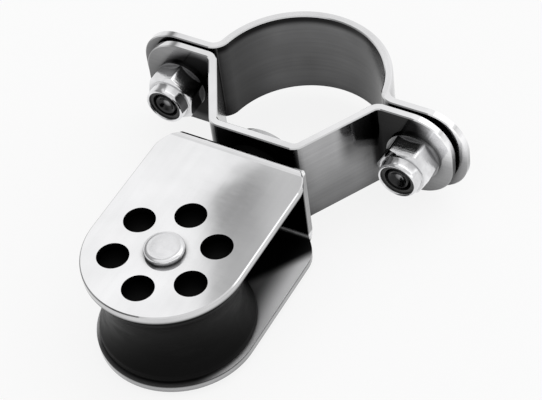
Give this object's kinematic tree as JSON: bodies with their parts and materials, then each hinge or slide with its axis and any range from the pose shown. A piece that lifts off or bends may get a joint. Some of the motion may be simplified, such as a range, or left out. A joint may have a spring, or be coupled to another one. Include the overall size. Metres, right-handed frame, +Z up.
{
  "type": "stanchion clamp lead block",
  "caption": "Swivelling lead block with one wide grooved sheave between pierced steel cheeks, on a bolted strap clamp for a tube or stanchion.",
  "frame": {"origin": "centre of the tube seat, on the tube's axis at the middle of the straps' height", "axes": "+Z up the tube's axis, +X towards the right ear as seen from the block, +Y towards the back of the clamp, so the block stands out along -Y"},
  "size_m": [0.0516, 0.0607, 0.0174],
  "materials": {
    "polished_steel": "polished stainless steel",
    "fastener_steel": "plain stainless steel fasteners",
    "black_plastic": "black acetal, satin",
    "insert_nylon": "dark nylon locking insert"
  },
  "bodies": {
    "clamp": {"rear_strap": "polished_steel", "front_strap": "polished_steel", "left_bolt": "fastener_steel", "right_bolt": "fastener_steel", "left_washer": "fastener_steel", "right_washer": "fastener_steel", "left_nut": "fastener_steel", "right_nut": "fastener_steel", "left_nut_insert": "insert_nylon", "right_nut_insert": "insert_nylon", "swivel_rivet": "polished_steel", "swivel_spacer": "black_plastic", "swivel_washer": "fastener_steel"},
    "block": {"block_housing": "polished_steel", "axle_rivet": "polished_steel", "axle_bush": "fastener_steel"},
    "roller": {"sheave": "black_plastic"}
  },
  "joints": [
    {"name": "block_swivel", "type": "hinge", "parent": "clamp", "child": "block", "pos_m": [0, -0.01533, 0], "axis": [0, -1, 0], "continuous": true},
    {"name": "sheave_spin", "type": "hinge", "parent": "block", "child": "roller", "pos_m": [0, -0.03583, 0], "axis": [0, 0, 1], "continuous": true}
  ]
}
